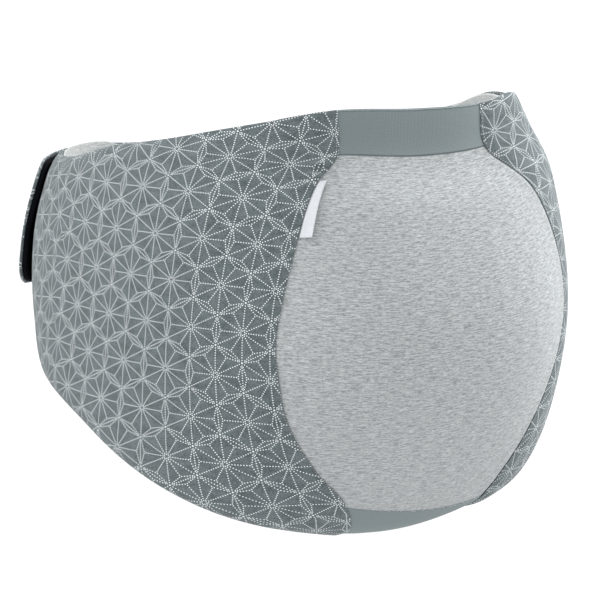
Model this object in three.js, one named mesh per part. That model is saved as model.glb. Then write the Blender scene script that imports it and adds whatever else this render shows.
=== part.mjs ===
// Maternity support belt in the shape it takes when worn: a stretch panel over the belly, elastic
// bands above and below it, and two padded wings that close behind the wearer's right side.
// Millimetres, +Z up. The belly faces -Y and +X is the wearer's left. The origin is the middle of the
// hollow. A place on the belt is a turn from the front, in degrees towards the wearer's left, and a
// share up from the lower hem to the upper hem.

import * as THREE from 'three';
import { mergeVertices } from 'three/addons/utils/BufferGeometryUtils.js';

// Reach of the form from the origin, at its widest course
const sideReach = 147;
const frontReach = 200;
const backReach = 165;

// Height of the form from its lower hem to its upper hem
const frontHeight = 284;
const sideHeight = 180;
const backHeight = 130;

// Squareness of the plan outline: 2 is an ellipse
const frontSquareness = 2.4;
const backSquareness = 2.8;

// Cloth and its gaps
const jerseyThickness = 1.6;
const elasticThickness = 2.2;
const liningThickness = 1.2;
const wingThickness = 6;
const wingEdgeThickness = 2.2;
const seamGap = 0.3;
const layerGap = 0.3;
const wrapGap = 1.2;

// Bands
const topBandHeight = 32;
const bottomBandHeight = 39;

// How far the bottom band's seam leans, in millimetres for a degree of turn, and the turns and the
// share up between which the lean fades out
const seamLean = 0.33;
const seamLeanTurn = 25;
const seamLeanEndTurn = 70;
const seamLeanEndUp = 0.5;

// Wings
const wingPadRise = 60;
const hemPadRise = 30;
const rightWingEndTurn = 168;
const leftWingEndTurn = 194;
const wrapStartTurn = 148;
const wrapFullTurn = 187;
const taperStartTurn = 128;
const wingEndHeight = 88;

// How far the lining's edge stands above the wing's upper hem
const liningEdge = 0.8;

// Height of the waves that the upper hem lies in, and the shares up between which they fade in
const hemWaveHeight = 4;
const hemWaveLowUp = 0.6;
const hemWaveHighUp = 0.9;

// The same for the lower hem, whose waves fade out
const lowerWaveHeight = 3.4;
const lowerWaveLowUp = 0.04;
const lowerWaveHighUp = 0.2;

// Closure tab, hook tape and label
const tabEndTurn = 231;
const tabHeight = 84;
const tabThickness = 1.8;
const tabFall = 8;
const tabFlare = 2;
const tabFlareLength = 22;
const tabLowCorner = 14;
const tabHighCorner = 24;
const hookTapeLength = 52;
const hookTapeThickness = 1.6;
const hookTapeInset = 1;
const hookTapeGap = 0.5;
const tapeRampTurn = 9;
const labelLength = 44;
const labelWidth = 7.5;
const labelTopWidth = 4.5;
const labelThickness = 1.2;
const labelGap = 0.8;
const labelUp = 0.67;
const labelTurn = 28;

// Courses of the form, from the lower hem to the upper hem: side, front and back are shares of the
// three reaches, and zFront, zSide and zBack of the three heights
const courses = [
  { up: 0.00, side: 0.94, front: 0.528, back: 0.84, zFront: -0.453, zSide: -0.354, zBack: -0.43 },
  { up: 0.11, side: 0.99, front: 0.737, back: 0.90, zFront: -0.38, zSide: -0.323, zBack: -0.36 },
  { up: 0.30, side: 1.00, front: 0.943, back: 0.96, zFront: -0.125, zSide: -0.093, zBack: -0.19 },
  { up: 0.50, side: 0.993, front: 1.00, back: 1.00, zFront: 0.10, zSide: 0.145, zBack: -0.02 },
  { up: 0.70, side: 0.965, front: 0.875, back: 1.01, zFront: 0.33, zSide: 0.40, zBack: 0.17 },
  { up: 0.89, side: 0.898, front: 0.74, back: 1.02, zFront: 0.445, zSide: 0.59, zBack: 0.38 },
  { up: 1.00, side: 0.845, front: 0.72, back: 1.03, zFront: 0.545, zSide: 0.64, zBack: 0.555 },
];

// Turns of the two seams beside the panel and its bands, counted from the front on each side
const seams = [
  { up: 0.00, right: 15.6, left: 23.0 },
  { up: 0.10, right: 16.2, left: 22.6 },
  { up: 0.15, right: 19.5, left: 22.4 },
  { up: 0.20, right: 25.6, left: 23.3 },
  { up: 0.28, right: 30.6, left: 26.6 },
  { up: 0.40, right: 32.8, left: 31.0 },
  { up: 0.50, right: 33.2, left: 33.0 },
  { up: 0.65, right: 30.0, left: 30.6 },
  { up: 0.80, right: 25.8, left: 24.2 },
  { up: 0.89, right: 20.5, left: 20.2 },
  { up: 1.00, right: 20.4, left: 20.0 },
];

// Waves of the upper hem, from behind the wearer's right side round to the same place: rise is a
// share of the waves' height
const hemWaves = [
  { turn: -180, rise: 0 },
  { turn: -172, rise: 0.1 },
  { turn: -157, rise: 0.75 },
  { turn: -132, rise: -0.2 },
  { turn: -115, rise: -0.6 },
  { turn: -95, rise: -0.5 },
  { turn: -65, rise: -1.2 },
  { turn: -40, rise: -0.3 },
  { turn: -22, rise: 0.5 },
  { turn: 0, rise: -0.75 },
  { turn: 20, rise: -0.85 },
  { turn: 35, rise: 0.3 },
  { turn: 52, rise: -0.3 },
  { turn: 72, rise: 0.7 },
  { turn: 90, rise: -0.1 },
  { turn: 115, rise: 0 },
  { turn: 180, rise: 0 },
];

// Waves of the lower hem, in the same way
const lowerHemWaves = [
  { turn: -180, rise: 0 },
  { turn: -62, rise: 0 },
  { turn: -48, rise: 0.1 },
  { turn: -32, rise: 0.6 },
  { turn: -15, rise: 0.2 },
  { turn: 0, rise: 0 },
  { turn: 15, rise: -0.1 },
  { turn: 36, rise: -1 },
  { turn: 52, rise: -0.6 },
  { turn: 75, rise: 0 },
  { turn: 180, rise: 0 },
];

// Mesh steps: shares up at the hems' curves, and turns between columns
const bandRows = 3;
const panelRows = 11;
const panelColumns = 18;
const wingColumnTurn = 7;
const firstColumnTurn = 42;
const seamColumns = 3;

const colours = {
  jersey: 0xb9bdbe,
  elastic: 0x858f93,
  patterned: 0x838e91,
  lining: 0xc4c7c7,
  hookTape: 0x0a0b0e,
  label: 0xe9ecee,
};

const topBandUp = 1 - topBandHeight / frontHeight;
const bottomBandUp = bottomBandHeight / frontHeight;

const radians = THREE.MathUtils.degToRad;
const degrees = THREE.MathUtils.radToDeg;
const { lerp, smoothstep } = THREE.MathUtils;

function cloth(colour) {
  return new THREE.MeshStandardMaterial({ color: colour, roughness: 0.9, metalness: 0 });
}

// One column of a table at a place on its key, on a smooth curve through its rows
function smoothColumn(table, key, column, place) {
  const last = table.length - 1;
  let row = 0;
  while (row < last - 1 && place > table[row + 1][key]) {
    row++;
  }
  const span = table[row + 1][key] - table[row][key];
  const t = (place - table[row][key]) / span;
  const leaving = rowSlope(table, key, column, row) * span;
  const arriving = rowSlope(table, key, column, row + 1) * span;
  return (2 * t ** 3 - 3 * t ** 2 + 1) * table[row][column] + (t ** 3 - 2 * t ** 2 + t) * leaving
    + (3 * t ** 2 - 2 * t ** 3) * table[row + 1][column] + (t ** 3 - t ** 2) * arriving;
}

function rowSlope(table, key, column, row) {
  const before = table[Math.max(row - 1, 0)];
  const after = table[Math.min(row + 1, table.length - 1)];
  return (after[column] - before[column]) / (after[key] - before[key]);
}

function course(column, up) {
  return smoothColumn(courses, 'up', column, up);
}

function hemWave(turn, up) {
  const turnRound = THREE.MathUtils.euclideanModulo(turn + 180, 360) - 180;
  const upper = hemWaveHeight * smoothstep(up, hemWaveLowUp, hemWaveHighUp);
  const lower = lowerWaveHeight * (1 - smoothstep(up, lowerWaveLowUp, lowerWaveHighUp));
  const upperRise = smoothColumn(hemWaves, 'turn', 'rise', turnRound);
  return upper * upperRise + lower * smoothColumn(lowerHemWaves, 'turn', 'rise', turnRound);
}

// The share up that a place comes to once the bottom band's seam leans
function leant(turn, up) {
  const below = smoothstep(up, 0, bottomBandUp);
  const above = 1 - smoothstep(up, bottomBandUp, seamLeanEndUp);
  const inFront = 1 - smoothstep(Math.abs(turn), seamLeanTurn, seamLeanEndTurn);
  return up - seamLean / frontHeight * turn * below * above * inFront;
}

// The jersey's outer face, on which every piece is laid
function formPoint(turn, share) {
  const up = leant(turn, share);
  const across = Math.sin(radians(turn));
  const ahead = Math.cos(radians(turn));
  const reach = ahead > 0 ? frontReach * course('front', up) : backReach * course('back', up);
  const squareness = ahead > 0 ? frontSquareness : backSquareness;
  const sideShare = Math.abs(across) / (sideReach * course('side', up));
  const radius = (sideShare ** squareness + (Math.abs(ahead) / reach) ** squareness) ** (-1 / squareness);
  const zFront = frontHeight * course('zFront', up);
  const zSide = sideHeight * course('zSide', up);
  const zBack = backHeight * course('zBack', up);
  const z = zSide + (zFront - zBack) / 2 * ahead + ((zFront + zBack) / 2 - zSide) * ahead ** 2;
  return new THREE.Vector3(radius * across, -radius * ahead, z + hemWave(turn, up));
}

function formNormal(turn, up) {
  const turnStep = 0.05;
  const upStep = 0.001;
  const alongTurn = formPoint(turn + turnStep, up).sub(formPoint(turn - turnStep, up));
  const alongUp = formPoint(turn, up + upStep).sub(formPoint(turn, up - upStep));
  return alongTurn.cross(alongUp).normalize();
}

function formRadius(turn, up) {
  const point = formPoint(turn, up);
  return Math.hypot(point.x, point.y);
}

// Turns and shares that the named lengths come to on the form
function turnFor(length, turn, up) {
  return degrees(length / formRadius(turn, up));
}

function upFor(length, turn) {
  const step = 0.02;
  let height = 0;
  for (let up = 0; up < 1 - step / 2; up += step) {
    height += formPoint(turn, up + step).distanceTo(formPoint(turn, up));
  }
  return length / height;
}

function seamAt(side, up) {
  return smoothColumn(seams, 'up', side > 0 ? 'left' : 'right', up);
}

const endLowUp = 1 - upFor(wingEndHeight, 180);
const tabLowUp = 1 - upFor(tabHeight, tabEndTurn);
const tabHighUp = 1 - upFor(tabFall, tabEndTurn);

// The shares up of the mesh rows, the same on every piece so that seams meet row by row
function evenRows(low, high, steps) {
  return Array.from({ length: steps + 1 }, (_, i) => lerp(low, high, i / steps));
}

const lowerRows = evenRows(0, bottomBandUp, bandRows);
const middleRows = evenRows(bottomBandUp, topBandUp, panelRows);
const upperRows = evenRows(topBandUp, 1, bandRows);
const wingRows = [...lowerRows, ...middleRows.slice(1), ...upperRows.slice(1)];

// How much of a pad's full thickness stands at a distance in from its edge
function padShare(distance, rise) {
  const t = THREE.MathUtils.clamp(distance / rise, 0, 1);
  return Math.sqrt(1 - (1 - t) ** 2);
}

// A box's back face splits its squares the other way from its front. Here both split alike, so that
// one sheet lies on another with an even gap
function splitAlike(geometry) {
  const index = geometry.getIndex();
  const backFace = geometry.groups[5];
  for (let i = backFace.start; i < backFace.start + backFace.count; i += 6) {
    const a = index.getX(i);
    const b = index.getX(i + 1);
    const c = index.getX(i + 4);
    const d = index.getX(i + 2);
    [a, b, c, a, c, d].forEach((corner, k) => index.setX(i + k, corner));
  }
}

// A closed sheet of cloth bent over the form. place(column, row, outer) gives the turn, the share up,
// how far the face stands off the form, and how far it is raised
function bentSheet(name, colour, columns, rows, place) {
  const geometry = new THREE.BoxGeometry(1, 1, 1, columns, rows, 1);
  splitAlike(geometry);
  const position = geometry.getAttribute('position');
  for (let i = 0; i < position.count; i++) {
    const column = Math.round((position.getX(i) + 0.5) * columns);
    const row = Math.round((position.getY(i) + 0.5) * rows);
    const { turn, up, off, raised = 0 } = place(column, row, position.getZ(i) > 0);
    const point = formPoint(turn, up).addScaledVector(formNormal(turn, up), off);
    position.setXYZ(i, point.x, point.y, point.z + raised);
  }
  geometry.deleteAttribute('normal');
  geometry.deleteAttribute('uv');
  const closed = mergeVertices(geometry, 1e-4);
  closed.computeVertexNormals();
  const mesh = new THREE.Mesh(closed, cloth(colour));
  mesh.name = name;
  return mesh;
}

// A sheet of the front, between the two seams, from one share up to another
function frontSheet(name, colour, rows, thickness, standing) {
  const low = rows[0];
  const high = rows[rows.length - 1];
  const hemGap = seamGap / 2 / frontHeight;
  return bentSheet(name, colour, panelColumns, rows.length - 1, (column, row, outer) => {
    const up = lerp(low + hemGap * (low > 0), high - hemGap * (high < 1), (rows[row] - low) / (high - low));
    const gap = turnFor(seamGap, seamAt(1, up), up);
    const turn = lerp(gap - seamAt(-1, rows[row]), seamAt(1, rows[row]) - gap, column / panelColumns);
    return { turn, up, off: outer ? standing : standing - thickness };
  });
}

// The turns of a wing's columns from its seam to its end. The first few follow the seam's curve
function wingColumnCount(endTurn) {
  return seamColumns + Math.ceil((endTurn - firstColumnTurn) / wingColumnTurn);
}

function wingTurn(side, column, row, endTurn) {
  if (column < seamColumns) {
    return lerp(seamAt(side, wingRows[row]), firstColumnTurn, column / seamColumns);
  }
  const plainShare = (column - seamColumns) / (wingColumnCount(endTurn) - seamColumns);
  return lerp(firstColumnTurn, endTurn, plainShare);
}

// The share up of a wing's lower hem, which climbs towards its end
function wingLowUp(turn) {
  return endLowUp * smoothstep(turn, taperStartTurn, 180);
}

// How much of the pad stands at a share of the wing's height
function hemPad(share) {
  return padShare(Math.min(share, 1 - share) * sideHeight, hemPadRise);
}

function wingPad(side, turn, row, endTurn) {
  const fromSeam = radians(turn - seamAt(side, wingRows[row])) * sideReach;
  const fromEnd = radians(endTurn - turn) * backReach;
  const alongPad = smoothstep(fromSeam, 0, wingPadRise) * smoothstep(fromEnd, 0, wingPadRise);
  return lerp(wingEdgeThickness, wingThickness, alongPad * hemPad(wingRows[row]));
}

// How far the left wing and its tab stand off to pass over the right wing
function wrapOff(turn, up) {
  const low = wingLowUp(Math.min(turn, 360 - turn));
  const share = THREE.MathUtils.clamp((up - low) / (1 - low), 0, 1);
  const under = lerp(wingEdgeThickness, wingThickness, hemPad(share));
  return (layerGap + under + wrapGap + liningThickness) * smoothstep(turn, wrapStartTurn, wrapFullTurn);
}

// A sheet of one side's wing, +1 on the wearer's left, with as many rows more than the wing as asked
function wingSheet(name, colour, side, endTurn, moreRows, faces) {
  const last = wingColumnCount(endTurn);
  const lastRow = wingRows.length - 1;
  return bentSheet(name, colour, last, lastRow + moreRows, (column, row, outer) => {
    const wingRow = Math.min(row, lastRow);
    const turn = wingTurn(side, side > 0 ? column : last - column, wingRow, endTurn);
    const up = lerp(wingLowUp(turn), 1, wingRows[wingRow]);
    const wrap = side > 0 ? wrapOff(turn, up) : 0;
    const { off, raised } = faces(turn, wingRow, outer, row - wingRow);
    return { turn: side * turn, up, off: off + wrap, raised };
  });
}

function wing(name, side, endTurn) {
  return wingSheet(name, colours.patterned, side, endTurn, 0, (turn, row, outer) => {
    return { off: layerGap + (outer ? wingPad(side, turn, row, endTurn) : 0) };
  });
}

// The lining backs the wing and ends just above its upper hem
function lining(name, side, endTurn) {
  return wingSheet(name, colours.lining, side, endTurn, 1, (turn, row, outer, above) => {
    return { off: outer ? 0 : -liningThickness, raised: above * liningEdge };
  });
}

// The tab carries on from the left wing's end, over the right wing, and flares at its free end. Its
// columns are closer together over the hook tape
const tabStartTurn = leftWingEndTurn + turnFor(seamGap, 180, 1);
const tapeStartTurn = tabEndTurn - turnFor(hookTapeLength, tabEndTurn, 1);
const plainColumns = evenRows(tabStartTurn, tapeStartTurn, 7);
const tapeColumns = evenRows(0, Math.PI / 2, 6).map((a) => lerp(tapeStartTurn, tabEndTurn, Math.sin(a)));
const tabColumns = [...plainColumns, ...tapeColumns.slice(1)];
const tabHeights = evenRows(0, Math.PI / 2, 7).map((a) => Math.sin(a));

// The free end stands off most at its lower corner
function tabFlareAt(turn, height) {
  const toEnd = radians(tabEndTurn - turn) * sideReach;
  const flare = 1 - THREE.MathUtils.clamp(toEnd / tabFlareLength, 0, 1);
  return tabFlare * (1 - height) * flare ** 2;
}

function tabOff(turn, up, height) {
  const overTape = smoothstep(turn, tapeStartTurn - tapeRampTurn, tapeStartTurn);
  return wrapOff(turn, up) + (hookTapeThickness + hookTapeGap) * overTape + tabFlareAt(turn, height);
}

// The share up at a height on the tab, whose upper hem falls from the left wing's end and whose free
// corners are round. inset is how far in from the tab's edges its lowest and highest places lie
function tabUp(turn, height, inset) {
  const alongTab = (turn - tabStartTurn) / (tabEndTurn - tabStartTurn);
  const low = lerp(endLowUp, tabLowUp, alongTab);
  const high = lerp(1, tabHighUp, smoothstep(alongTab, 0, 1));
  const lowEdge = (inset + cornerCut(turn, tabLowCorner)) / tabHeight;
  const highEdge = (inset + cornerCut(turn, tabHighCorner)) / tabHeight;
  return lerp(low, high, lerp(lowEdge, 1 - highEdge, height));
}

function cornerCut(turn, radius) {
  const toEnd = radians(tabEndTurn - turn) * sideReach;
  const cut = 1 - THREE.MathUtils.clamp(toEnd / radius, 0, 1);
  return radius * (1 - Math.sqrt(1 - cut ** 2));
}

function tabSheet(name, colour, innerOff, outerOff) {
  return bentSheet(name, colour, tabColumns.length - 1, tabHeights.length - 1, (column, row, outer) => {
    const turn = tabColumns[column];
    const height = tabHeights[row];
    const up = tabUp(turn, height, 0);
    return { turn, up, off: tabOff(turn, up, height) + (outer ? outerOff : innerOff) };
  });
}

function hookTape() {
  const outerFace = -liningThickness - hookTapeGap;
  const columns = tapeColumns.length - 1;
  return bentSheet('hook_tape', colours.hookTape, columns, tabHeights.length - 1, (column, row, outer) => {
    const turn = tapeColumns[column];
    const height = tabHeights[row];
    const up = tabUp(turn, height, hookTapeInset);
    const face = outer ? outerFace : outerFace - hookTapeThickness;
    return { turn, up, off: tabOff(turn, up, height) + face };
  });
}

// A folded tag, held in the seam on the wearer's right and lying on the panel, narrow at its top
function label() {
  const columns = 2;
  const rows = 5;
  const rise = upFor(labelLength, -labelTurn);
  return bentSheet('label', colours.label, columns, rows, (column, row, outer) => {
    const up = labelUp + rise * row / rows;
    const width = lerp(labelWidth, labelTopWidth, row / rows);
    const seam = turnFor(labelGap, labelTurn, up) - seamAt(-1, up);
    const turn = seam + turnFor(width, labelTurn, up) * column / columns;
    return { turn, up, off: layerGap + (outer ? labelThickness : 0) };
  });
}

const belt = new THREE.Group();
belt.add(
  frontSheet('belly_panel', colours.jersey, middleRows, jerseyThickness, 0),
  frontSheet('top_band', colours.elastic, upperRows, elasticThickness, layerGap),
  frontSheet('bottom_band', colours.elastic, lowerRows, elasticThickness, layerGap),
  wing('wing_right', -1, rightWingEndTurn),
  wing('wing_left', 1, leftWingEndTurn),
  lining('lining_right', -1, rightWingEndTurn),
  lining('lining_left', 1, leftWingEndTurn),
  tabSheet('closure_tab', colours.patterned, layerGap, layerGap + tabThickness),
  tabSheet('tab_lining', colours.lining, -liningThickness, 0),
  hookTape(),
  label(),
);

export default belt;
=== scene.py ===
"""Looks of the maternity support belt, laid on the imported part. A place on the belt is a turn from the
front, in degrees towards the wearer's left, and a share up from the lower hem to the upper hem, as in
the part's source. Lengths on the form are millimetres, and meshes are made in metres."""

import math

import bpy
import numpy as np
from mathutils import Matrix, Vector


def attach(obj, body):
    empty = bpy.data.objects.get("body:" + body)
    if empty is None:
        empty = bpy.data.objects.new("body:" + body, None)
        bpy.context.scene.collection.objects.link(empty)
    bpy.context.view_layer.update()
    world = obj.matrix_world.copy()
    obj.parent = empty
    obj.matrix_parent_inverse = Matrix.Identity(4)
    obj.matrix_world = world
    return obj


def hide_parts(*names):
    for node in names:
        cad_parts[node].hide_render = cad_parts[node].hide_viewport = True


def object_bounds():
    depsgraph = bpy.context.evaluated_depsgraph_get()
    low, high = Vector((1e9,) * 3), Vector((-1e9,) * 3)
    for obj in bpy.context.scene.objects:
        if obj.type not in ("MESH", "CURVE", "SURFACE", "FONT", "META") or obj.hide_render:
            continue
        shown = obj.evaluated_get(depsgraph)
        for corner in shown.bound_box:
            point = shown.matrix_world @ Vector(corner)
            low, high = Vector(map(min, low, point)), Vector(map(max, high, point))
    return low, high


MM = 0.001

# The form's driving dimensions, as in the part's source
SIDE_REACH, FRONT_REACH, BACK_REACH = 147, 200, 165
FRONT_HEIGHT, SIDE_HEIGHT, BACK_HEIGHT = 284, 180, 130
FRONT_SQUARENESS, BACK_SQUARENESS = 2.4, 2.8
JERSEY, ELASTIC, LINING, WING, WING_EDGE = 1.6, 2.2, 1.2, 6, 2.2
SEAM_GAP, LAYER_GAP, WRAP_GAP = 0.3, 0.3, 1.2
TOP_BAND, BOTTOM_BAND = 32, 39
SEAM_LEAN, SEAM_LEAN_TURN, SEAM_LEAN_END_TURN, SEAM_LEAN_END_UP = 0.33, 25, 70, 0.5
WING_PAD_RISE, HEM_PAD_RISE = 60, 30
RIGHT_END, LEFT_END = 168, 194
WRAP_START, WRAP_FULL = 148, 187
TAPER_START, WING_END_HEIGHT = 128, 88
LINING_FROM_SEAM, LINING_INSET, LINING_RISE, LINING_RISE_FROM = 1.5, 0.5, 2.2, 0.94
SEAM_THIN, SEAM_THIN_REACH = 1.5, 8
HEM_WAVE_HEIGHT, HEM_WAVE_LOW, HEM_WAVE_HIGH = 4, 0.6, 0.9
LOWER_WAVE_HEIGHT, LOWER_WAVE_LOW, LOWER_WAVE_HIGH = 3.4, 0.04, 0.2
TAB_END, TAB_HEIGHT, TAB_THICKNESS, TAB_LOW_CORNER, TAB_HIGH_CORNER = 231, 84, 1.8, 14, 24
TAB_FALL, TAB_FLARE, TAB_FLARE_LENGTH = 8, 2, 22
TAB_LINING_INSET, TAB_LINING_END_INSET = 3.0, 5.0
HOOK_TAPE_LENGTH, HOOK_TAPE, HOOK_TAPE_INSET, HOOK_TAPE_GAP, TAPE_RAMP = 52, 1.6, 1, 0.5, 9
LABEL_LENGTH, LABEL_WIDTH, LABEL_TOP_WIDTH, LABEL = 44, 7.5, 4.5, 1.2
LABEL_GAP, LABEL_UP, LABEL_TURN, LABEL_CURL, LABEL_HELD = 0.8, 0.67, 28, 1.4, 2.5
# The turn at which lengths near the seams beside the panel are taken as turns
SEAM_TURN = 30.0

TOP_BAND_UP = 1 - TOP_BAND / FRONT_HEIGHT
BOTTOM_BAND_UP = BOTTOM_BAND / FRONT_HEIGHT

# Courses of the form, from the lower hem to the upper hem: share up, then these columns, as shares of the
# driving dimensions
SIDE, FRONT, BACK, Z_FRONT, Z_SIDE, Z_BACK = range(1, 7)
COURSES = np.array(
    [
        (0.00, 0.94, 0.528, 0.84, -0.453, -0.354, -0.43),
        (0.11, 0.99, 0.737, 0.90, -0.38, -0.323, -0.36),
        (0.30, 1.00, 0.943, 0.96, -0.125, -0.093, -0.19),
        (0.50, 0.993, 1.00, 1.00, 0.10, 0.145, -0.02),
        (0.70, 0.965, 0.875, 1.01, 0.33, 0.40, 0.17),
        (0.89, 0.898, 0.74, 1.02, 0.445, 0.59, 0.38),
        (1.00, 0.845, 0.72, 1.03, 0.545, 0.64, 0.555),
    ]
)

# Turns of the two seams beside the panel, on the right and on the left, at shares up
SEAMS = np.array(
    [
        (0.00, 15.6, 23.0),
        (0.10, 16.2, 22.6),
        (0.15, 19.5, 22.4),
        (0.20, 25.6, 23.3),
        (0.28, 30.6, 26.6),
        (0.40, 32.8, 31.0),
        (0.50, 33.2, 33.0),
        (0.65, 30.0, 30.6),
        (0.80, 25.8, 24.2),
        (0.89, 20.5, 20.2),
        (1.00, 20.4, 20.0),
    ]
)

# Waves of the upper hem: turn, and rise as a share of the waves' height
HEM_WAVES = np.array(
    [
        (-180, 0),
        (-172, 0.1),
        (-157, 0.75),
        (-132, -0.2),
        (-115, -0.6),
        (-95, -0.5),
        (-65, -1.2),
        (-40, -0.3),
        (-22, 0.5),
        (0, -0.75),
        (20, -0.85),
        (35, 0.3),
        (52, -0.3),
        (72, 0.7),
        (90, -0.1),
        (115, 0),
        (180, 0),
    ]
)

# Waves of the lower hem, in the same way
LOWER_HEM_WAVES = np.array(
    [
        (-180, 0),
        (-62, 0),
        (-48, 0.1),
        (-32, 0.6),
        (-15, 0.2),
        (0, 0),
        (15, -0.1),
        (36, -1),
        (52, -0.6),
        (75, 0),
        (180, 0),
    ]
)

# The print: spacing of its stars, how far a leaf reaches past the middle between two stars, the dots of
# its lines, how far from a star's middle its rays begin, with their first dot, and how far from a
# leaf's tip the leaf's lines begin
STAR_SPACING = 34.5
LEAF_REACH = 0.16
DOT_STEP, DOT_RADIUS, DOT_BLUR = 1.62, 0.38, 0.06
RAY_START, FIRST_DOT, LEAF_START = 0.7, 1.4, 1.5


def smooth_column(table, column, place):
    """One column at a place on the table's first column, on a smooth curve through its rows."""
    keys, values = table[:, 0], table[:, column]
    steps = np.arange(len(keys))
    before, after = np.maximum(steps - 1, 0), np.minimum(steps + 1, len(keys) - 1)
    slopes = (values[after] - values[before]) / (keys[after] - keys[before])
    row = np.clip(np.searchsorted(keys, place) - 1, 0, len(keys) - 2)
    span = keys[row + 1] - keys[row]
    t = (place - keys[row]) / span
    return (
        (2 * t**3 - 3 * t**2 + 1) * values[row]
        + (t**3 - 2 * t**2 + t) * span * slopes[row]
        + (3 * t**2 - 2 * t**3) * values[row + 1]
        + (t**3 - t**2) * span * slopes[row + 1]
    )


def course(column, up):
    return smooth_column(COURSES, column, up)


def smoothstep(value, low, high):
    t = np.clip((value - low) / (high - low), 0, 1)
    return t * t * (3 - 2 * t)


def lerp(a, b, share):
    return a + (b - a) * share


def leant(turn, up):
    """The share up that a place comes to once the bottom band's seam leans."""
    below = smoothstep(up, 0, BOTTOM_BAND_UP)
    above = 1 - smoothstep(up, BOTTOM_BAND_UP, SEAM_LEAN_END_UP)
    in_front = 1 - smoothstep(np.abs(turn), SEAM_LEAN_TURN, SEAM_LEAN_END_TURN)
    return up - SEAM_LEAN / FRONT_HEIGHT * turn * below * above * in_front


def form_point(turn, up):
    """The jersey's outer face, on which every piece is laid."""
    turn, up = np.broadcast_arrays(np.asarray(turn, float), np.asarray(up, float))
    up = leant(turn, up)
    across, ahead = np.sin(np.radians(turn)), np.cos(np.radians(turn))
    in_front = ahead > 0
    reach = np.where(in_front, FRONT_REACH * course(FRONT, up), BACK_REACH * course(BACK, up))
    squareness = np.where(in_front, FRONT_SQUARENESS, BACK_SQUARENESS)
    side_share = np.abs(across) / (SIDE_REACH * course(SIDE, up))
    radius = (side_share**squareness + (np.abs(ahead) / reach) ** squareness) ** (-1 / squareness)
    z_front = FRONT_HEIGHT * course(Z_FRONT, up)
    z_side = SIDE_HEIGHT * course(Z_SIDE, up)
    z_back = BACK_HEIGHT * course(Z_BACK, up)
    z = z_side + (z_front - z_back) / 2 * ahead + ((z_front + z_back) / 2 - z_side) * ahead**2
    return np.stack([radius * across, -radius * ahead, z + hem_wave(turn, up)], -1)


def hem_wave(turn, up):
    turn_round = (turn + 180) % 360 - 180
    upper = HEM_WAVE_HEIGHT * smoothstep(up, HEM_WAVE_LOW, HEM_WAVE_HIGH)
    lower = LOWER_WAVE_HEIGHT * (1 - smoothstep(up, LOWER_WAVE_LOW, LOWER_WAVE_HIGH))
    upper_rise = smooth_column(HEM_WAVES, 1, turn_round)
    return upper * upper_rise + lower * smooth_column(LOWER_HEM_WAVES, 1, turn_round)


def form_normal(turn, up):
    along_turn = form_point(turn + 0.05, up) - form_point(turn - 0.05, up)
    along_up = form_point(turn, up + 0.001) - form_point(turn, up - 0.001)
    normal = np.cross(along_turn, along_up)
    return normal / np.linalg.norm(normal, axis=-1, keepdims=True)


def turn_for(length, turn, up):
    point = form_point(turn, up)
    return np.degrees(length / np.hypot(point[..., 0], point[..., 1]))


def up_for(length, turn):
    places = form_point(turn, np.linspace(0, 1, 51))
    return length / np.linalg.norm(np.diff(places, axis=0), axis=1).sum()


def seam_at(side, up):
    return smooth_column(SEAMS, 2 if side > 0 else 1, up)


END_LOW_UP = 1 - up_for(WING_END_HEIGHT, 180.0)
TAB_LOW_UP = 1 - up_for(TAB_HEIGHT, TAB_END)
TAB_HIGH_UP = 1 - up_for(TAB_FALL, TAB_END)


def pad_share(distance, rise):
    return np.sqrt(1 - (1 - np.clip(distance / rise, 0, 1)) ** 2)


def hem_pad(share):
    """How much of the pad stands at a share of the wing's height."""
    return pad_share(np.minimum(share, 1 - share) * SIDE_HEIGHT, HEM_PAD_RISE)


def wing_pad(side, turn, share, end_turn):
    """Thickness of a wing at a turn counted away from the front on its own side."""
    from_seam = np.radians(turn - seam_at(side, share)) * SIDE_REACH
    from_end = np.radians(end_turn - turn) * BACK_REACH
    along = smoothstep(from_seam, 0, WING_PAD_RISE) * smoothstep(from_end, 0, WING_PAD_RISE)
    return lerp(WING_EDGE, WING, along * hem_pad(share)) - seam_thinning(from_seam)


def seam_thinning(from_seam):
    """How much thinner a wing is near its seam, where it is sewn down."""
    return SEAM_THIN * (1 - smoothstep(from_seam, 0, SEAM_THIN_REACH))


def wing_low_up(turn):
    return END_LOW_UP * smoothstep(turn, TAPER_START, 180)


def wrap_off(turn, up):
    """How far the left wing and its tab stand off to pass over the right wing."""
    low = wing_low_up(np.minimum(turn, 360 - turn))
    under = lerp(WING_EDGE, WING, hem_pad(np.clip((up - low) / (1 - low), 0, 1)))
    return (LAYER_GAP + under + WRAP_GAP + LINING) * smoothstep(turn, WRAP_START, WRAP_FULL)


# Flat coordinates of the cloth

LENGTH_TURNS = np.arange(-200.0, 241.0, 1.0)
LENGTH_UPS = np.linspace(0, 1, 101)


def length_tables():
    """Lengths along the turn and along the height, over the whole form."""
    turns, ups = np.meshgrid(LENGTH_TURNS, LENGTH_UPS, indexing="ij")
    points = form_point(turns, ups)
    round_steps = np.linalg.norm(np.diff(points, axis=0), axis=-1)
    up_steps = np.linalg.norm(np.diff(points, axis=1), axis=-1)
    length_round = np.concatenate([np.zeros((1, len(LENGTH_UPS))), np.cumsum(round_steps, axis=0)])
    length_up = np.concatenate([np.zeros((len(LENGTH_TURNS), 1)), np.cumsum(up_steps, axis=1)], axis=1)
    return length_round, length_up


LENGTH_ROUND, LENGTH_UP = length_tables()


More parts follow.
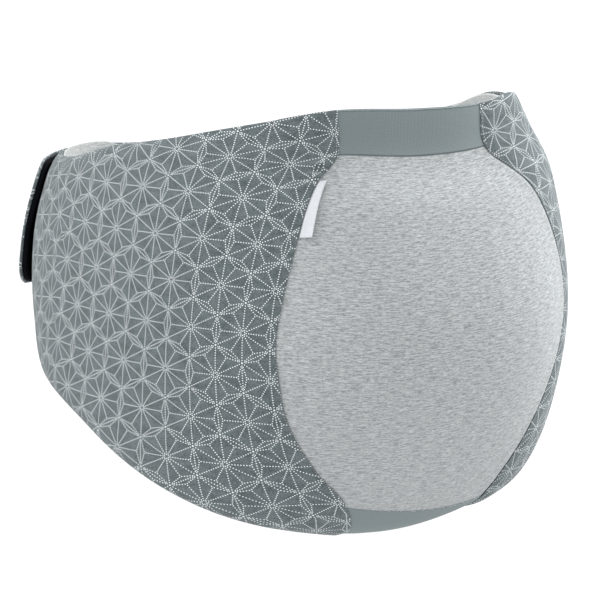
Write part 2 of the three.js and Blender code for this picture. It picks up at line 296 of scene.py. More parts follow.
def looked_up(table, turn, up):
    x = np.clip(turn - LENGTH_TURNS[0], 0, len(LENGTH_TURNS) - 1.001)
    y = np.clip(up, 0, 1) * (len(LENGTH_UPS) - 1.001)
    i, j = x.astype(int), y.astype(int)
    s, t = x - i, y - j
    low = lerp(table[i, j], table[i + 1, j], s)
    high = lerp(table[i, j + 1], table[i + 1, j + 1], s)
    return lerp(low, high, t)


def flat_place(turn, up, middle_turn, middle_up=0.5):
    """Millimetres along the turn and up the height, from a middle place."""
    middle = np.full_like(turn, middle_turn)
    across = looked_up(LENGTH_ROUND, turn, up) - looked_up(LENGTH_ROUND, middle, up)
    along = looked_up(LENGTH_UP, turn, up) - looked_up(LENGTH_UP, turn, np.full_like(up, middle_up))
    return np.stack([across, along], -1)


# Meshes

# The cut size of each cloth, in metres: width, length and area
CUT_SIZES = {}
# Into how many steps a cloth's round edge is divided
EDGE_STEPS = 4


def shell(name, turn, up, outer, inner, flat, lift=0.0):
    """A closed cloth with round edges. turn, up, outer and inner are grids: rows from low to high,
    columns towards the wearer's left. flat is the grid's place on the flat cloth, for its UV map.
    Its cut is as wide as its longest course and as long as its longest column."""
    turn, up = np.broadcast_arrays(turn, up)
    rows, columns = turn.shape
    base = form_point(turn, up)
    base[..., 2] += lift
    normal = form_normal(turn, up)
    top = base + normal * np.broadcast_to(outer, turn.shape)[..., None]
    under = base + normal * np.broadcast_to(inner, turn.shape)[..., None]
    middle, half = (top + under) / 2, (top - under) / 2
    across_steps, up_steps = np.diff(middle, axis=1), np.diff(middle, axis=0)
    along_turn = np.linalg.norm(across_steps, axis=-1).sum(1).max()
    along_height = np.linalg.norm(up_steps, axis=-1).sum(0).max()
    area = np.linalg.norm(np.cross(across_steps[:-1], up_steps[:, :-1]), axis=-1).sum()
    CUT_SIZES[name] = (float(along_turn) * MM, float(along_height) * MM, float(area) * MM * MM)

    r = np.concatenate(
        [
            np.zeros(columns - 1, int),
            np.arange(rows - 1),
            np.full(columns - 1, rows - 1),
            np.arange(rows - 1, 0, -1),
        ]
    )
    c = np.concatenate(
        [
            np.arange(columns - 1),
            np.full(rows - 1, columns - 1),
            np.arange(columns - 1, 0, -1),
            np.zeros(rows - 1, int),
        ]
    )
    half_thickness = np.linalg.norm(half[r, c], axis=-1, keepdims=True)
    edge_normal = half[r, c] / half_thickness
    out = middle[r, c] - middle[np.clip(r, 1, rows - 2), np.clip(c, 1, columns - 2)]
    out -= edge_normal * (out * edge_normal).sum(-1, keepdims=True)
    out /= np.linalg.norm(out, axis=-1, keepdims=True)
    top[r, c] -= out * half_thickness
    under[r, c] -= out * half_thickness
    angles = [math.pi * k / EDGE_STEPS for k in range(1, EDGE_STEPS)]
    rings = [
        middle[r, c] + half_thickness * (math.cos(a) * edge_normal + (math.sin(a) - 1) * out) for a in angles
    ]

    points = np.concatenate([top.reshape(-1, 3), under.reshape(-1, 3), *rings])
    flat_out = flat[r, c] - flat[np.clip(r, 1, rows - 2), np.clip(c, 1, columns - 2)]
    flat_out /= np.linalg.norm(flat_out, axis=-1, keepdims=True)
    flat = flat.copy()
    edge_places = flat[r, c].copy()
    flat[r, c] -= flat_out * half_thickness
    ring_places = [edge_places + flat_out * half_thickness * (a - 1) for a in angles]
    uv = np.concatenate([flat.reshape(-1, 2), flat.reshape(-1, 2), *ring_places])

    i, j = np.meshgrid(np.arange(rows - 1), np.arange(columns - 1), indexing="ij")
    a = (i * columns + j).ravel()
    squares = np.stack([a, a + 1, a + columns + 1, a + columns], -1)
    below = squares[:, ::-1] + rows * columns
    loop = r * columns + c
    levels = [loop]
    for k in range(len(rings)):
        levels.append(2 * rows * columns + k * len(r) + np.arange(len(r)))
    levels.append(loop + rows * columns)
    strips = []
    for first, second in zip(levels, levels[1:]):
        strips.append(np.stack([np.roll(first, -1), first, second, np.roll(second, -1)], -1))
    faces = np.concatenate([squares, below, *strips])
    return cloth_object(name, points, faces, uv)


def cloth_object(name, points, faces, uv):
    mesh = bpy.data.meshes.new(name)
    mesh.from_pydata((points * MM).tolist(), [], faces.tolist())
    mesh.shade_smooth()
    corners = np.empty(len(mesh.loops), np.int32)
    mesh.loops.foreach_get("vertex_index", corners)
    layer = mesh.uv_layers.new(name="cloth")
    layer.data.foreach_set("uv", uv[corners].astype(np.float32).ravel())
    obj = bpy.data.objects.new(name, mesh)
    bpy.context.collection.objects.link(obj)
    return obj


def eased(count, ease=0.6):
    """Shares from 0 to 1, closer together at both ends."""
    t = np.linspace(0, 1, count)
    return lerp(t, (1 - np.cos(math.pi * t)) / 2, ease)


def place_piece(obj, material, node):
    obj.data.materials.append(material)
    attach(obj, "root")
    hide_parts(node)


# Materials


class Nodes:
    """A material's node tree, with its shader and short calls for the nodes that are used here."""

    def __init__(self, name, roughness, sheen=0.0, specular=0.25):
        self.material = bpy.data.materials.new(name)
        self.material.use_nodes = True
        self.tree = self.material.node_tree
        self.shader = self.tree.nodes["Principled BSDF"]
        self.shader.inputs["Roughness"].default_value = roughness
        self.shader.inputs["Specular IOR Level"].default_value = specular
        self.shader.inputs["Sheen Weight"].default_value = sheen
        self.shader.inputs["Sheen Roughness"].default_value = 0.5

    def node(self, kind, **settings):
        node = self.tree.nodes.new("ShaderNode" + kind)
        for key, value in settings.items():
            setattr(node, key, value)
        return node

    def feed(self, socket, value):
        if isinstance(value, bpy.types.NodeSocket):
            self.tree.links.new(value, socket)
        else:
            socket.default_value = value

    def math(self, operation, *values):
        node = self.node("Math", operation=operation)
        for socket, value in zip(node.inputs, values):
            self.feed(socket, value)
        return node.outputs[0]

    def place(self):
        """The two flat coordinates, in millimetres."""
        split = self.node("SeparateXYZ")
        self.feed(split.inputs[0], self.node("UVMap", uv_map="cloth").outputs[0])
        return split.outputs[0], split.outputs[1]

    def noise(self, x, y, x_size, y_size, detail=2.0):
        """Noise from 0 to 1 with grains of a size in millimetres."""
        join = self.node("CombineXYZ")
        self.feed(join.inputs[0], self.math("DIVIDE", x, x_size))
        self.feed(join.inputs[1], self.math("DIVIDE", y, y_size))
        noise = self.node("TexNoise", noise_dimensions="2D")
        self.feed(noise.inputs["Vector"], join.outputs[0])
        noise.inputs["Scale"].default_value = 1.0
        noise.inputs["Detail"].default_value = detail
        return noise.outputs["Fac"]

    def ranged(self, value, low, high, to_low=0.0, to_high=1.0):
        node = self.node("MapRange")
        for socket, given in zip(node.inputs, (value, low, high, to_low, to_high)):
            self.feed(socket, given)
        return node.outputs[0]

    def mix(self, share, a, b):
        node = self.node("Mix", data_type="RGBA")
        self.feed(node.inputs["Factor"], share)
        self.feed(node.inputs["A"], a)
        self.feed(node.inputs["B"], b)
        return node.outputs["Result"]

    def bump(self, height, distance):
        """Relief of a height from 0 to 1 over a distance in millimetres."""
        node = self.node("Bump")
        node.inputs["Distance"].default_value = distance * MM
        node.inputs["Strength"].default_value = 1.0
        self.feed(node.inputs["Height"], height)
        self.feed(self.shader.inputs["Normal"], node.outputs[0])

    def colour(self, value):
        self.feed(self.shader.inputs["Base Color"], value)


def linear(red, green, blue):
    """A colour read in screen values, as a shader takes it."""
    values = np.array((red, green, blue)) / 255
    channels = np.where(values <= 0.04045, values / 12.92, ((values + 0.055) / 1.055) ** 2.4)
    return (*channels.tolist(), 1.0)


def wave(nodes, value, period):
    return nodes.math("SINE", nodes.math("MULTIPLY", value, 2 * math.pi / period))


def knit_height(nodes, x, y, wale=0.9, row=0.7):
    """Columns of slanting loops."""
    column = nodes.math("PINGPONG", x, wale / 2)
    slant = nodes.math("ADD", y, nodes.math("MULTIPLY", column, 0.9))
    loops = wave(nodes, slant, row)
    ridge = nodes.math("SINE", nodes.math("MULTIPLY", column, 2 * math.pi / wale))
    return nodes.math("MULTIPLY", ridge, nodes.math("ADD", nodes.math("MULTIPLY", loops, 0.35), 0.65))


def dotted_line(nodes, x, y, start, end, first_dot):
    """Distance to the nearest dot of a line of dots from one point through another."""
    run = (end[0] - start[0], end[1] - start[1])
    length = math.hypot(*run)
    ux, uy = run[0] / length, run[1] / length
    from_x, from_y = nodes.math("SUBTRACT", x, start[0]), nodes.math("SUBTRACT", y, start[1])
    along = nodes.math("ADD", nodes.math("MULTIPLY", from_x, ux), nodes.math("MULTIPLY", from_y, uy))
    off = nodes.math("SUBTRACT", nodes.math("MULTIPLY", from_x, uy), nodes.math("MULTIPLY", from_y, ux))
    step = length / round(length / DOT_STEP)
    from_dot = nodes.math("ADD", along, step - first_dot)
    to_dot = nodes.math("PINGPONG", from_dot, step / 2)
    squares = nodes.math("ADD", nodes.math("MULTIPLY", to_dot, to_dot), nodes.math("MULTIPLY", off, off))
    return nodes.math("SQRT", squares)


def star_print(nodes, x, y):
    """The hemp-leaf print, 1 on its dots: stars on a triangular grid, folded onto one twelfth of a star."""
    tall = STAR_SPACING * math.sqrt(3)
    squares, folded = [], []
    for shift in (0.0, 0.5):
        sx = nodes.math("ADD", x, shift * STAR_SPACING)
        sy = nodes.math("ADD", y, shift * tall)
        wx = nodes.math("WRAP", sx, STAR_SPACING / 2, -STAR_SPACING / 2)
        wy = nodes.math("WRAP", sy, tall / 2, -tall / 2)
        squares.append(nodes.math("ADD", nodes.math("MULTIPLY", wx, wx), nodes.math("MULTIPLY", wy, wy)))
        folded.append(nodes.math("PINGPONG", nodes.math("ARCTAN2", wy, wx), math.pi / 6))
    second = nodes.math("LESS_THAN", squares[1], squares[0])
    reach = nodes.math("SQRT", nodes.math("MINIMUM", squares[0], squares[1]))
    angle = nodes.ranged(second, 0.0, 1.0, folded[0], folded[1])
    fx = nodes.math("MULTIPLY", reach, nodes.math("COSINE", angle))
    fy = nodes.math("MULTIPLY", reach, nodes.math("SINE", angle))

    edge = STAR_SPACING / 2
    centre, corner = (0.0, 0.0), (edge, edge / math.sqrt(3))
    leaf = (edge * (1 - LEAF_REACH), 0.0)
    rays = dotted_line(nodes, fx, fy, centre, corner, FIRST_DOT)
    leaf_spine = dotted_line(nodes, fx, fy, (edge, 0.0), corner, 0.0)
    leaf_side = dotted_line(nodes, fx, fy, leaf, corner, DOT_STEP / 2)
    short_ray = dotted_line(nodes, fx, fy, centre, leaf, FIRST_DOT + DOT_STEP / 2)
    short_ray = nodes.math("ADD", short_ray, nodes.math("GREATER_THAN", fx, leaf[0]))
    short_ray = nodes.math("ADD", short_ray, nodes.math("LESS_THAN", fx, FIRST_DOT))
    to_x, to_y = nodes.math("SUBTRACT", fx, corner[0]), nodes.math("SUBTRACT", fy, corner[1])
    to_corner = nodes.math("ADD", nodes.math("MULTIPLY", to_x, to_x), nodes.math("MULTIPLY", to_y, to_y))
    leaf_lines = nodes.math("MINIMUM", leaf_spine, leaf_side)
    leaf_lines = nodes.math("ADD", leaf_lines, nodes.math("LESS_THAN", to_corner, LEAF_START**2))
    nearest = nodes.math("MINIMUM", nodes.math("MINIMUM", rays, short_ray), leaf_lines)
    nearest = nodes.math("ADD", nearest, nodes.math("LESS_THAN", reach, RAY_START))
    return nodes.ranged(nearest, DOT_RADIUS + DOT_BLUR, DOT_RADIUS - DOT_BLUR)


def printed_cloth():
    nodes = Nodes("printed_cloth", 0.85, sheen=0.12)
    x, y = nodes.place()
    dots = star_print(nodes, x, y)
    mottle = nodes.math("MULTIPLY", nodes.noise(x, y, 9.0, 6.0, detail=4.0), 0.4)
    fine = nodes.math("MULTIPLY", nodes.noise(x, y, 1.3, 1.0), 0.6)
    shade = nodes.ranged(nodes.math("ADD", mottle, fine), 0.36, 0.64)
    ground = nodes.mix(shade, linear(76, 85, 88), linear(108, 118, 121))
    nodes.colour(nodes.mix(dots, ground, linear(238, 244, 246)))
    height = nodes.math("ADD", knit_height(nodes, x, y, 0.55, 0.45), nodes.math("MULTIPLY", dots, 0.8))
    nodes.bump(height, 0.06)
    return nodes.material


def heather_jersey(name, dark, light):
    nodes = Nodes(name, 0.9, sheen=0.1)
    x, y = nodes.place()
    long_streak = nodes.noise(x, y, 8.0, 0.8)
    short_streak = nodes.noise(x, y, 2.6, 0.6)
    fine = nodes.noise(x, y, 0.8, 0.7, detail=1.0)
    streaks = nodes.math("MULTIPLY", nodes.math("ADD", long_streak, short_streak), 0.4)
    mixed = nodes.math("ADD", streaks, nodes.math("MULTIPLY", fine, 0.2))
    nodes.colour(nodes.mix(nodes.ranged(mixed, 0.38, 0.62), linear(*dark), linear(*light)))
    nodes.bump(knit_height(nodes, x, y), 0.1)
    return nodes.material


def ribbed_elastic():
    nodes = Nodes("ribbed_elastic", 0.8, sheen=0.08)
    x, y = nodes.place()
    rising = wave(nodes, nodes.math("ADD", x, y), 2.0)
    falling = wave(nodes, nodes.math("SUBTRACT", x, y), 2.0)
    twill = nodes.math("MULTIPLY", rising, falling)
    shade = nodes.math("ADD", nodes.math("MULTIPLY", twill, 0.35), nodes.noise(x, y, 1.4, 0.8))
    nodes.colour(nodes.mix(nodes.ranged(shade, 0.1, 0.9), linear(113, 124, 126), linear(124, 134, 136)))
    nodes.bump(twill, 0.05)
    return nodes.material


def black_tape():
    nodes = Nodes("black_tape", 0.8, specular=0.04)
    x, y = nodes.place()
    grain = nodes.noise(x, y, 0.7, 0.7)
    nodes.colour(nodes.mix(grain, linear(2, 3, 6), linear(20, 21, 25)))
    nodes.bump(grain, 0.4)
    return nodes.material


def white_satin():
    nodes = Nodes("white_satin", 0.5, sheen=0.05)
    x, y = nodes.place()
    weave = nodes.math("MULTIPLY", wave(nodes, x, 0.5), wave(nodes, y, 0.5))
    nodes.colour(nodes.mix(nodes.noise(x, y, 3.0, 3.0), linear(202, 206, 211), linear(214, 217, 221)))
    nodes.bump(weave, 0.03)
    return nodes.material


def thread(name, dark, light):
    nodes = Nodes(name, 0.7)
    x, y = nodes.place()
    nodes.colour(nodes.mix(nodes.noise(x, y, 0.6, 0.6), linear(*dark), linear(*light)))
    nodes.bump(wave(nodes, nodes.math("ADD", x, y), 0.3), 0.05)
    return nodes.material


# Pieces

# How far a cloth runs on under the cloth that is sewn over its edge
UNDER_WING = 3.0
UNDER_BAND = 4.0
# How far the jersey stands up beside the far wing's edge, how far from that edge it is highest and where
# it ends, and the share up in which it begins and ends beside the bands
JERSEY_SWELL, SWELL_TOP, SWELL_REACH, SWELL_BEGIN_UP = 0.9, 3, 12, 0.04


def jersey_swell(turn, up):
    to_seam = (seam_at(1, up) - turn) / turn_for(1.0, SEAM_TURN, up)
    beside = smoothstep(to_seam, 0, SWELL_TOP) * (1 - smoothstep(to_seam, SWELL_TOP, SWELL_REACH))
    over_low = smoothstep(up, BOTTOM_BAND_UP, BOTTOM_BAND_UP + SWELL_BEGIN_UP)
    under_high = 1 - smoothstep(up, TOP_BAND_UP - SWELL_BEGIN_UP, TOP_BAND_UP)
    return JERSEY_SWELL * beside * over_low * under_high


def front_piece(name, low, high, outer, inner, columns, rows, under_band):
    """A cloth of the front, from one share up to another. It runs a little under both wings, and the
    panel runs under the bands."""
    share = eased(rows, 0.3)[:, None]
    more_up = under_band / FRONT_HEIGHT
    up = lerp(low - more_up * (low > 0), high + more_up * (high < 1), share)
    more = turn_for(UNDER_WING, SEAM_TURN, up)
    turn = lerp(-seam_at(-1, up) - more, seam_at(1, up) + more, np.linspace(0, 1, columns)[None, :])
    up = np.broadcast_to(up, turn.shape)
    swell = jersey_swell(turn, up)
    return shell(name, turn, up, outer + swell, inner + swell, flat_place(turn, up, 0.0))


def wing_grid(side, end_turn, rows=220, columns=190, from_seam=0.0):
    """Turns away from the front on a wing's own side, and shares of its height. The columns run towards
    the wearer's left."""
    share = np.broadcast_to(eased(rows)[:, None], (rows, columns))
    along = eased(columns)[None, :]
    start = seam_at(side, share) + turn_for(from_seam, SEAM_TURN, share)
    turn = lerp(start, end_turn, along)
    if side < 0:
        turn = turn[:, ::-1]
    return turn, share


# Where the print lies on each wing: millimetres on the print from millimetres on the cloth, counted from
# the middle of the wing's side. On the left the cloth is shifted, then stretched, then turned
PRINT_MIDDLE = 60.0
LEFT_PRINT_SHIFT, LEFT_PRINT_STRETCH, LEFT_PRINT_TILT = (92.4, -113.9), (0.88, 1.11), math.radians(38)


def right_print(turn, up):
    """The print is stretched unevenly over the hip, so its place bends with the cloth's, here counted in
    hundreds of millimetres. Past the limits of a and v the bend stays as it is."""
    across, along = np.moveaxis(flat_place(turn, up, -PRINT_MIDDLE), -1, 0) / 100
    a, v = np.clip(across, -1.15, 1.5), np.clip(along, -1.3, 1.3)
    x = -29.8 + 93.2 * across - 7.1 * along + 6.5 * a * a + 6.5 * a * v - 10.9 * a * v * v
    y = -52.3 - 10.1 * across + 111 * along + 5.2 * v * v + 5.0 * a**3
    return np.stack([x, y], -1)


def left_print(turn, up):
    place = (flat_place(turn, up, PRINT_MIDDLE) + LEFT_PRINT_SHIFT) * LEFT_PRINT_STRETCH
    across, along = np.moveaxis(place, -1, 0)
    cos, sin = math.cos(LEFT_PRINT_TILT), math.sin(LEFT_PRINT_TILT)
    return np.stack([across * cos - along * sin, across * sin + along * cos], -1)


# Folds at the near wing's corner below the upper band: turn, share up, reach across and up, and height
CORNER_FOLDS = (
    (-25.0, 0.857, (6.0, 2.2), 3.0),
    (-24.6, 0.840, (5.0, 1.3), -0.6),
    (-26.0, 0.823, (5.0, 2.2), 2.8),
    (-26.6, 0.795, (4.0, 2.0), 1.4),
)
FOLD_SLANT = 0.5


def pucker(turn, up, at_turn, at_up, reach, height):
    """One fold of the cloth, slanting, around a place."""
    away = flat_place(turn, up, at_turn, at_up)
    away[..., 0] += FOLD_SLANT * away[..., 1]
    return height * np.exp(-((away / reach) ** 2).sum(-1))


def wing_piece(name, side, end_turn, print_place):
    turn, share = wing_grid(side, end_turn)
    up = lerp(wing_low_up(turn), 1, share)
    wrap = wrap_off(turn, up) if side > 0 else 0.0
    inner = LAYER_GAP + wrap
    outer = inner + wing_pad(side, turn, share, end_turn)
    if side < 0:
        folds = sum(pucker(-turn, up, *fold) for fold in CORNER_FOLDS)
        outer = outer + folds * smoothstep(turn - seam_at(side, share), 0, 1)
    return shell(name, side * turn, up, outer, inner, print_place(side * turn, up))


# Where each lining stands up over its wing's upper hem: the turns between which it rises, and those
# between which it falls again
NEAR_LINING_SHOWS, FAR_LINING_SHOWS = (132, 144, 162, 167), (58, 82, 100, 115)
# The turn from which a lining's flat coordinates are counted
LINING_MIDDLE = 100.0


def lining_piece(name, side, end_turn, lining_shows):
    turn, share = wing_grid(side, end_turn, 60, 120, LINING_FROM_SEAM)
    up = lerp(wing_low_up(turn), 1, share)
    outer = wrap_off(turn, up) if side > 0 else 0.0
    shows = smoothstep(turn, *lining_shows[:2]) * (1 - smoothstep(turn, *lining_shows[2:]))
    lift = (LINING_RISE * shows - LINING_INSET) * smoothstep(share, LINING_RISE_FROM, 1)
    flat = flat_place(side * turn, up, side * LINING_MIDDLE)
    return shell(name, side * turn, up, outer, outer - LINING, flat, lift)


TAB_START = LEFT_END + turn_for(SEAM_GAP, 180.0, 1.0)
TAPE_START = TAB_END - turn_for(HOOK_TAPE_LENGTH, TAB_END, 1.0)
# Where a tape's edge is turned out: from its end, and from its sides
TURNED_END, TURNED_SIDE = (2.5, 4.5), (0.8, 2.0)


def to_tab_end(turn):
    return np.radians(TAB_END - turn) * SIDE_REACH


def tab_off(turn, up, height):
    flare = 1 - np.clip(to_tab_end(turn) / TAB_FLARE_LENGTH, 0, 1)
    over_tape = smoothstep(turn, TAPE_START - TAPE_RAMP, TAPE_START)
    return wrap_off(turn, up) + (HOOK_TAPE + HOOK_TAPE_GAP) * over_tape + TAB_FLARE * (1 - height) * flare**2


def tab_up(turn, height, inset):
    along = (turn - TAB_START) / (TAB_END - TAB_START)
    low = lerp(END_LOW_UP, TAB_LOW_UP, along)
    high = lerp(1, TAB_HIGH_UP, smoothstep(along, 0, 1))
    low_edge = (inset + corner_cut(turn, TAB_LOW_CORNER)) / TAB_HEIGHT
    high_edge = (inset + corner_cut(turn, TAB_HIGH_CORNER)) / TAB_HEIGHT
    return lerp(low, high, lerp(low_edge, 1 - high_edge, height))


def corner_cut(turn, radius):
    cut = 1 - np.clip(to_tab_end(turn) / radius, 0, 1)
    return radius * (1 - np.sqrt(1 - cut**2))


def tab_piece(name, start, inner, outer, inset=0.0, end_inset=0.0, turned_out=0.0):
    """turned_out is how much the outer face rises along the tab's edges, over what ends short of them."""
    rows, columns = 44, 60
    end = TAB_END - turn_for(end_inset, TAB_END, 1.0)
    turn = np.broadcast_to(lerp(start, end, eased(columns))[None, :], (rows, columns))
    height = np.broadcast_to(eased(rows)[:, None], turn.shape)
    up = tab_up(turn, height, inset)
    off = tab_off(turn, up, height)
    to_side = np.minimum(height, 1 - height) * TAB_HEIGHT
    inside = smoothstep(to_tab_end(turn), *TURNED_END) * smoothstep(to_side, *TURNED_SIDE)
    outer = outer + turned_out * (1 - inside)
    return shell(name, turn, up, off + outer, off + inner, left_print(turn, up))


def label_piece():
    rows, columns = 40, 12
    length = up_for(LABEL_LENGTH, -LABEL_TURN)
    share = np.linspace(0, 1, rows)[:, None]
    up = LABEL_UP + length * share
    width = lerp(LABEL_WIDTH, LABEL_TOP_WIDTH, share)
    start = turn_for(LABEL_GAP, LABEL_TURN, up) - seam_at(-1, up)
    across = np.linspace(0, 1, columns)[None, :]
    turn = start + turn_for(width, LABEL_TURN, up) * across
    up = np.broadcast_to(up, turn.shape)
    curl = LABEL_CURL * across**2 * (1 - 0.6 * share)
    flat = np.stack(np.broadcast_arrays(width * across, LABEL_LENGTH * share), -1)
    return shell("seam_label", turn, up, LAYER_GAP + LABEL + curl, LAYER_GAP + curl, flat)


# Rings of a stitch: share of its length, and width as a share of its thickness
STITCH_RINGS = ((0.0, 0.3), (0.12, 0.8), (0.5, 1.0), (0.88, 0.8), (1.0, 0.3))
STITCH_SIDES = 6


def stitches(name, material, slot, starts, ends, thickness):
    """Short threads from start to end places, each given as turns, shares up and millimetres off."""
    first, second = (form_point(t, u) + form_normal(t, u) * o[:, None] for t, u, o in (starts, ends))
    normal = form_normal(starts[0], starts[1])
    along = second - first
    length = np.linalg.norm(along, axis=-1, keepdims=True)
    side = np.cross(normal, along / length)
    sides = STITCH_SIDES
    points, uv = [], []
    for share, wide in STITCH_RINGS:
        for k in range(sides):
            angle = 2 * math.pi * k / sides
            around = math.cos(angle) * side + math.sin(angle) * normal
            points.append(first + along * share + around * wide * thickness / 2)
            uv.append(np.stack([length[:, 0] * share, np.full(len(length), k * thickness / 2)], -1))
    points, uv = np.stack(points, 1), np.stack(uv, 1)
    squares = [
        (r * sides + k, r * sides + (k + 1) % sides, (r + 1) * sides + (k + 1) % sides, (r + 1) * sides + k)
        for r in range(len(STITCH_RINGS) - 1)
        for k in range(sides)
    ]
    steps = np.arange(len(first))[:, None, None] * points.shape[1]
    faces = (np.array(squares)[None] + steps).reshape(-1, 4)
    obj = cloth_object(name, points.reshape(-1, 3), faces, uv.reshape(-1, 2))
    obj.data.materials.append(material)
    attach(obj, "root")


def seam_run(side, low, high, step, inset):
    """Turns and shares up along a wing's seam, a step apart, at a distance in from the wing's edge."""
    ups = np.linspace(low, high, 400)
    turns = seam_at(side, ups) + turn_for(inset, SEAM_TURN, ups)
    points = form_point(side * turns, ups)
    run = np.concatenate([[0], np.cumsum(np.linalg.norm(np.diff(points, axis=0), axis=1))])
    places = np.arange(step / 2, run[-1], step)
    up = np.interp(places, run, ups)
    return side * (seam_at(side, up) + turn_for(inset, SEAM_TURN, up)), up


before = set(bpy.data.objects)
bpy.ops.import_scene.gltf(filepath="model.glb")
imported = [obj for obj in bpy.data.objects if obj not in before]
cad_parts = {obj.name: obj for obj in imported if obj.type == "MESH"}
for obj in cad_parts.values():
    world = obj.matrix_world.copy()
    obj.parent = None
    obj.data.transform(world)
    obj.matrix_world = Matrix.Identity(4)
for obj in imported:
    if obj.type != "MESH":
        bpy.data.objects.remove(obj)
cad_box = [list(corner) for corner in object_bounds()]

printed = printed_cloth()
jersey = heather_jersey("heather_jersey", (136, 140, 142), (192, 196, 197))
lining_jersey = heather_jersey("lining_jersey", (158, 162, 162), (196, 199, 198))
# Painted light: the far wing's lining is the same cloth as the near lining, given lighter colours that stand
# in for the light falling on the far wing's inside
far_lining_painted_lighter = heather_jersey("far_lining_painted_lighter", (196, 199, 199), (226, 228, 227))
elastic = ribbed_elastic()
tape = black_tape()
satin = white_satin()

panel = front_piece("jersey_panel", BOTTOM_BAND_UP, TOP_BAND_UP, 0.0, -JERSEY, 150, 120, UNDER_BAND)
upper_band = front_piece("upper_band", TOP_BAND_UP, 1, LAYER_GAP, LAYER_GAP - ELASTIC, 90, 24, 0.0)
lower_band = front_piece("lower_band", 0, BOTTOM_BAND_UP, LAYER_GAP, LAYER_GAP - ELASTIC, 90, 24, 0.0)
place_piece(panel, jersey, "belly_panel")
place_piece(upper_band, elastic, "top_band")
place_piece(lower_band, elastic, "bottom_band")

near_wing = wing_piece("right_side_wing", -1, RIGHT_END, right_print)
far_wing = wing_piece("left_side_wing", 1, LEFT_END, left_print)
near_facing = lining_piece("right_facing", -1, RIGHT_END, NEAR_LINING_SHOWS)
far_facing = lining_piece("left_facing", 1, LEFT_END, FAR_LINING_SHOWS)
place_piece(near_wing, printed, "wing_right")
place_piece(far_wing, printed, "wing_left")
place_piece(near_facing, lining_jersey, "lining_right")
place_piece(far_facing, far_lining_painted_lighter, "lining_left")

tab_skin = tab_piece("tab_skin", TAB_START, LAYER_GAP, LAYER_GAP + TAB_THICKNESS)
tab_facing = tab_piece("tab_facing", TAB_START, -LINING, 0.0, TAB_LINING_INSET, TAB_LINING_END_INSET)
tape_outer = -LINING - HOOK_TAPE_GAP
tape_inner, turned_out = tape_outer - HOOK_TAPE, HOOK_TAPE_GAP + LINING
tape_pad = tab_piece(
    "hook_tape_pad", TAPE_START, tape_inner, tape_outer, HOOK_TAPE_INSET, turned_out=turned_out
)
place_piece(tab_skin, printed, "closure_tab")
place_piece(tab_facing, lining_jersey, "tab_lining")
place_piece(tape_pad, tape, "hook_tape")

tag = label_piece()
place_piece(tag, satin, "label")

# Pale stitches on the wings beside the upper band
BAND_STITCH_INSET, BAND_STITCH_STEP, BAND_STITCH_LENGTH, BAND_STITCH = 1.6, 2.0, 1.2, 0.5
BAND_STITCH_LOW, BAND_STITCH_HIGH = TOP_BAND_UP + 0.004, 0.985
# Small stitches over the panel's seams: they climb from the jersey onto the wing's edge, leaning upwards
SEAM_STITCH_START, SEAM_STITCH_STEP, SEAM_STITCH_LENGTH = -0.5, 1.7, 1.2
SEAM_STITCH_LEAN, SEAM_STITCH_RISE = 0.3, 0.4
# Broken stitches along the lower band: turns between which they lie, step in degrees and share kept
LOWER_STITCH_START, LOWER_STITCH_END, LOWER_STITCH_STEP, LOWER_STITCH_SHARE = -13.0, 21.0, 0.8, 0.7

pale_thread = thread("pale_thread", (196, 204, 208), (226, 231, 234))
grey_thread = thread("grey_thread", (168, 174, 177), (200, 205, 207))
# Side, word for the name, thread, the shares up between which the seam is stitched, and thickness
STITCHED_SEAMS = (
    (-1, "right", grey_thread, BOTTOM_BAND_UP + 0.01, 0.5, 0.45),
    (1, "left", pale_thread, 0.45, TOP_BAND_UP - 0.01, 0.5),
)
for side, place, seam_thread, low, high, thickness in STITCHED_SEAMS:
    turn, up = seam_run(side, BAND_STITCH_LOW, BAND_STITCH_HIGH, BAND_STITCH_STEP, BAND_STITCH_INSET)
    half_up = BAND_STITCH_LENGTH / 2 / FRONT_HEIGHT
    off = np.full(len(up), LAYER_GAP + WING_EDGE - seam_thinning(BAND_STITCH_INSET))
    ends = (turn, up - half_up, off), (turn, up + half_up, off)
    stitches(f"band_stitches_{place}", pale_thread, "patterned_fabric", *ends, BAND_STITCH)
    turn, up = seam_run(side, low, high, SEAM_STITCH_STEP, SEAM_STITCH_START)
    off = np.full(len(up), LAYER_GAP + 0.05)
    over = turn_for(SEAM_STITCH_LENGTH, SEAM_TURN, up) * side
    top = np.full(len(up), LAYER_GAP + WING_EDGE - seam_thinning(0) + SEAM_STITCH_RISE)
    ends = (turn, up, off), (turn + over, up + SEAM_STITCH_LEAN / FRONT_HEIGHT, top)
    stitches(f"seam_stitches_{place}", seam_thread, "patterned_fabric", *ends, thickness)

chance = np.random.default_rng(7)
turn = np.arange(LOWER_STITCH_START, LOWER_STITCH_END, LOWER_STITCH_STEP)
turn = turn[chance.random(len(turn)) < LOWER_STITCH_SHARE]
up = BOTTOM_BAND_UP + chance.uniform(-0.6, 0.4, len(turn)) / FRONT_HEIGHT
off = np.full(len(turn), LAYER_GAP + 0.1)
length = chance.uniform(0.25, 0.75, len(turn))
ends = (turn, up, off), (turn + length, up + chance.uniform(-0.5, 0.9, len(turn)) / FRONT_HEIGHT, off)
stitches("lower_stitches", pale_thread, "elastic", *ends, 0.4)

SHEETS = (
    (panel, ["upper_band", "lower_band"]),
    (upper_band, ["jersey_panel"]),
    (lower_band, ["jersey_panel"]),
    (near_facing, ["right_side_wing"]),
    (far_facing, ["left_side_wing"]),
    (tab_skin, ["right_side_wing"]),
    (tab_facing, ["tab_skin"]),
    (tape_pad, ["tab_facing"]),
)
for obj, under in SHEETS:
    width, length, area = CUT_SIZES[obj.name]
# The tag's cut size, as far as it shows; what is held in the seam is not added
width, length, area = CUT_SIZES["seam_label"]

# Floor, light and camera

AZIMUTH, ELEVATION, ROLL = math.radians(-31), math.radians(15.5), math.radians(0.62)
TARGET = Vector((0.0121, 0.0084, -0.0056))
DISTANCE = 1.8
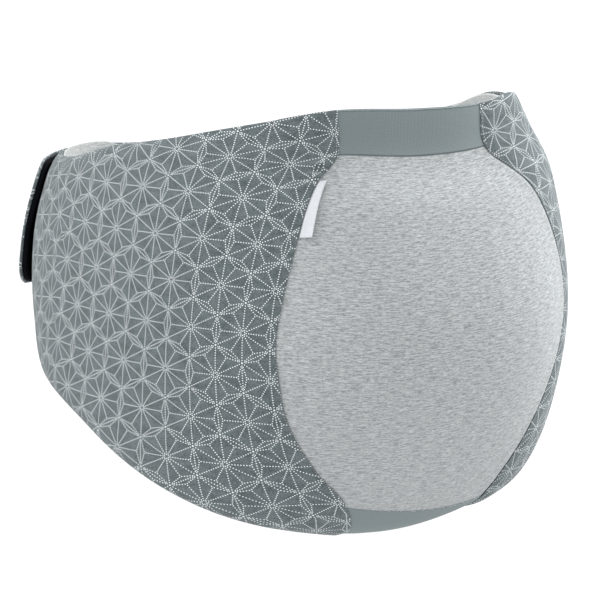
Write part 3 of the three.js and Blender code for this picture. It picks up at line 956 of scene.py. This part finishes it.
# What a pixel of the photograph covers at that distance
PIXEL = 0.66 * MM
FRAME_PIXELS = 600
SENSOR = 36.0
FLOOR_DROP, FLOOR_REACH = 1.0, 20000


def add_camera():
    data = bpy.data.cameras.new("camera")
    data.sensor_width = SENSOR
    data.lens = SENSOR * DISTANCE / (PIXEL * FRAME_PIXELS)
    camera = bpy.data.objects.new("camera", data)
    back = Vector(
        (
            math.sin(AZIMUTH) * math.cos(ELEVATION),
            -math.cos(AZIMUTH) * math.cos(ELEVATION),
            math.sin(ELEVATION),
        )
    )
    turn = (-back).to_track_quat("-Z", "Y").to_matrix().to_4x4() @ Matrix.Rotation(ROLL, 4, "Z")
    camera.matrix_world = Matrix.Translation(TARGET + back * DISTANCE) @ turn
    bpy.context.collection.objects.link(camera)
    bpy.context.scene.camera = camera


def add_area_light(name, place, size, power):
    """A square light of a size in metres, turned to the origin."""
    data = bpy.data.lights.new(name, "AREA")
    data.size, data.energy = size, power
    light = bpy.data.objects.new(name, data)
    light.location = place
    light.rotation_mode = "QUATERNION"
    light.rotation_quaternion = (-Vector(place)).to_track_quat("-Z", "Y")
    bpy.context.collection.objects.link(light)


def add_floor(z):
    nodes = Nodes("pale_floor", 0.9)
    x, y = nodes.place()
    nodes.colour(nodes.mix(nodes.noise(x, y, 400.0, 400.0), linear(78, 78, 78), linear(84, 84, 84)))
    nodes.shader.inputs["Emission Color"].default_value = (1, 1, 1, 1)
    nodes.shader.inputs["Emission Strength"].default_value = 0.98
    corners = ((-1, -1), (1, -1), (1, 1), (-1, 1))
    points = np.array([(x * FLOOR_REACH, y * FLOOR_REACH, z) for x, y in corners], float)
    floor = cloth_object("floor", points, np.array([[0, 1, 2, 3]]), points[:, :2])
    floor.data.materials.append(nodes.material)


def add_world():
    world = bpy.data.worlds.new("studio")
    world.use_nodes = True
    sky = world.node_tree.nodes["Background"]
    sky.inputs["Color"].default_value = (1, 1, 1, 1)
    sky.inputs["Strength"].default_value = 1.0
    bpy.context.scene.world = world


bpy.context.scene.view_settings.view_transform = "Standard"
add_camera()
add_world()
add_floor(cad_box[0][2] / MM - FLOOR_DROP)
add_area_light("key", (1.96, 0, 0.99), 1.4, 60)
add_area_light("fill", (-1.45, 0.42, 1.58), 1.4, 22)
